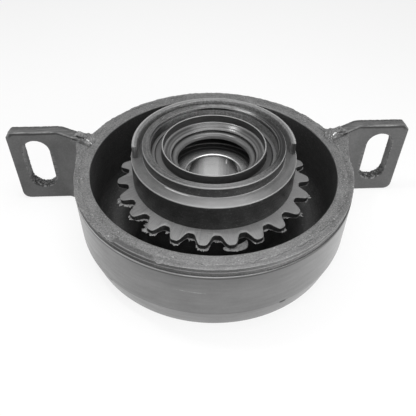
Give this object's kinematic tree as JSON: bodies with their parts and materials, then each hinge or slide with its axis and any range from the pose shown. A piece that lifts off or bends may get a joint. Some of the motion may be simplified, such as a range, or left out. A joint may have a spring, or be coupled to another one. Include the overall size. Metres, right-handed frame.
{
  "type": "driveshaft centre bearing",
  "caption": "Rubber-hung ball bearing in a steel ring with two slotted ears: carries the middle of a two-piece driveshaft and lets it turn freely.",
  "frame": {"origin": "centre of the bearing bore, on the shaft axis", "axes": "+Z along the shaft axis towards the toothed, open side; X from ear to ear; +Y towards the ears"},
  "size_m": [0.236, 0.1484, 0.063],
  "materials": {
    "band_steel": "satin grey coat over pressed steel",
    "ear_steel": "dark grey coat over sheared plate",
    "weld_steel": "coated weld bead",
    "cushion_rubber": "matt moulded rubber with trimmed flash",
    "sleeve_steel": "dull bare steel",
    "seal_case_steel": "dark satin pressed steel",
    "seal_rubber": "glossy oiled seal rubber",
    "race_steel": "ground bearing steel",
    "ball_steel": "polished bearing steel",
    "cage_steel": "pressed strip steel",
    "shield_rubber": "matt black seal rubber"
  },
  "bodies": {
    "housing": {"outer_band": "band_steel", "left_ear": "ear_steel", "right_ear": "ear_steel", "left_ear_weld": "weld_steel", "right_ear_weld": "weld_steel", "rubber_cushion": "cushion_rubber", "bearing_sleeve": "sleeve_steel", "upper_seal_case": "seal_case_steel", "upper_seal_lip": "seal_rubber", "lower_seal_case": "seal_case_steel", "lower_seal_lip": "seal_rubber", "bearing_outer_race": "race_steel", "upper_bearing_seal": "shield_rubber", "lower_bearing_seal": "shield_rubber"},
    "inner_race": {"bearing_inner_race": "race_steel"},
    "cage": {"upper_cage_half": "cage_steel", "lower_cage_half": "cage_steel", "cage_rivets": "cage_steel"},
    "rolling_ball_1": {"ball_1": "ball_steel"},
    "rolling_ball_2": {"ball_2": "ball_steel"},
    "rolling_ball_3": {"ball_3": "ball_steel"},
    "rolling_ball_4": {"ball_4": "ball_steel"},
    "rolling_ball_5": {"ball_5": "ball_steel"},
    "rolling_ball_6": {"ball_6": "ball_steel"},
    "rolling_ball_7": {"ball_7": "ball_steel"},
    "rolling_ball_8": {"ball_8": "ball_steel"},
    "rolling_ball_9": {"ball_9": "ball_steel"}
  },
  "joints": [
    {"name": "shaft_spin", "type": "hinge", "parent": "housing", "child": "inner_race", "pos_m": [0, 0, 0], "axis": [0, 0, 1], "continuous": true},
    {"name": "cage_spin", "type": "hinge", "parent": "housing", "child": "cage", "pos_m": [0, 0, 0], "axis": [0, 0, 1], "continuous": true},
    {"name": "ball_1_roll", "type": "hinge", "parent": "cage", "child": "rolling_ball_1", "pos_m": [0.023, 0, 0], "axis": [0, 0, 1], "continuous": true},
    {"name": "ball_2_roll", "type": "hinge", "parent": "cage", "child": "rolling_ball_2", "pos_m": [0.01762, 0.01478, 0], "axis": [0, 0, 1], "continuous": true},
    {"name": "ball_3_roll", "type": "hinge", "parent": "cage", "child": "rolling_ball_3", "pos_m": [0.00399, 0.02265, 0], "axis": [0, 0, 1], "continuous": true},
    {"name": "ball_4_roll", "type": "hinge", "parent": "cage", "child": "rolling_ball_4", "pos_m": [-0.0115, 0.01992, 0], "axis": [0, 0, 1], "continuous": true},
    {"name": "ball_5_roll", "type": "hinge", "parent": "cage", "child": "rolling_ball_5", "pos_m": [-0.02161, 0.00787, 0], "axis": [0, 0, 1], "continuous": true},
    {"name": "ball_6_roll", "type": "hinge", "parent": "cage", "child": "rolling_ball_6", "pos_m": [-0.02161, -0.00787, 0], "axis": [0, 0, 1], "continuous": true},
    {"name": "ball_7_roll", "type": "hinge", "parent": "cage", "child": "rolling_ball_7", "pos_m": [-0.0115, -0.01992, 0], "axis": [0, 0, 1], "continuous": true},
    {"name": "ball_8_roll", "type": "hinge", "parent": "cage", "child": "rolling_ball_8", "pos_m": [0.00399, -0.02265, 0], "axis": [0, 0, 1], "continuous": true},
    {"name": "ball_9_roll", "type": "hinge", "parent": "cage", "child": "rolling_ball_9", "pos_m": [0.01762, -0.01478, 0], "axis": [0, 0, 1], "continuous": true}
  ],
  "couplings": [
    {"joint": "cage_spin", "follows": "shaft_spin", "ratio": 0.39674},
    {"joint": "ball_1_roll", "follows": "shaft_spin", "ratio": -2.3178},
    {"joint": "ball_2_roll", "follows": "shaft_spin", "ratio": -2.3178},
    {"joint": "ball_3_roll", "follows": "shaft_spin", "ratio": -2.3178},
    {"joint": "ball_4_roll", "follows": "shaft_spin", "ratio": -2.3178},
    {"joint": "ball_5_roll", "follows": "shaft_spin", "ratio": -2.3178},
    {"joint": "ball_6_roll", "follows": "shaft_spin", "ratio": -2.3178},
    {"joint": "ball_7_roll", "follows": "shaft_spin", "ratio": -2.3178},
    {"joint": "ball_8_roll", "follows": "shaft_spin", "ratio": -2.3178},
    {"joint": "ball_9_roll", "follows": "shaft_spin", "ratio": -2.3178}
  ]
}
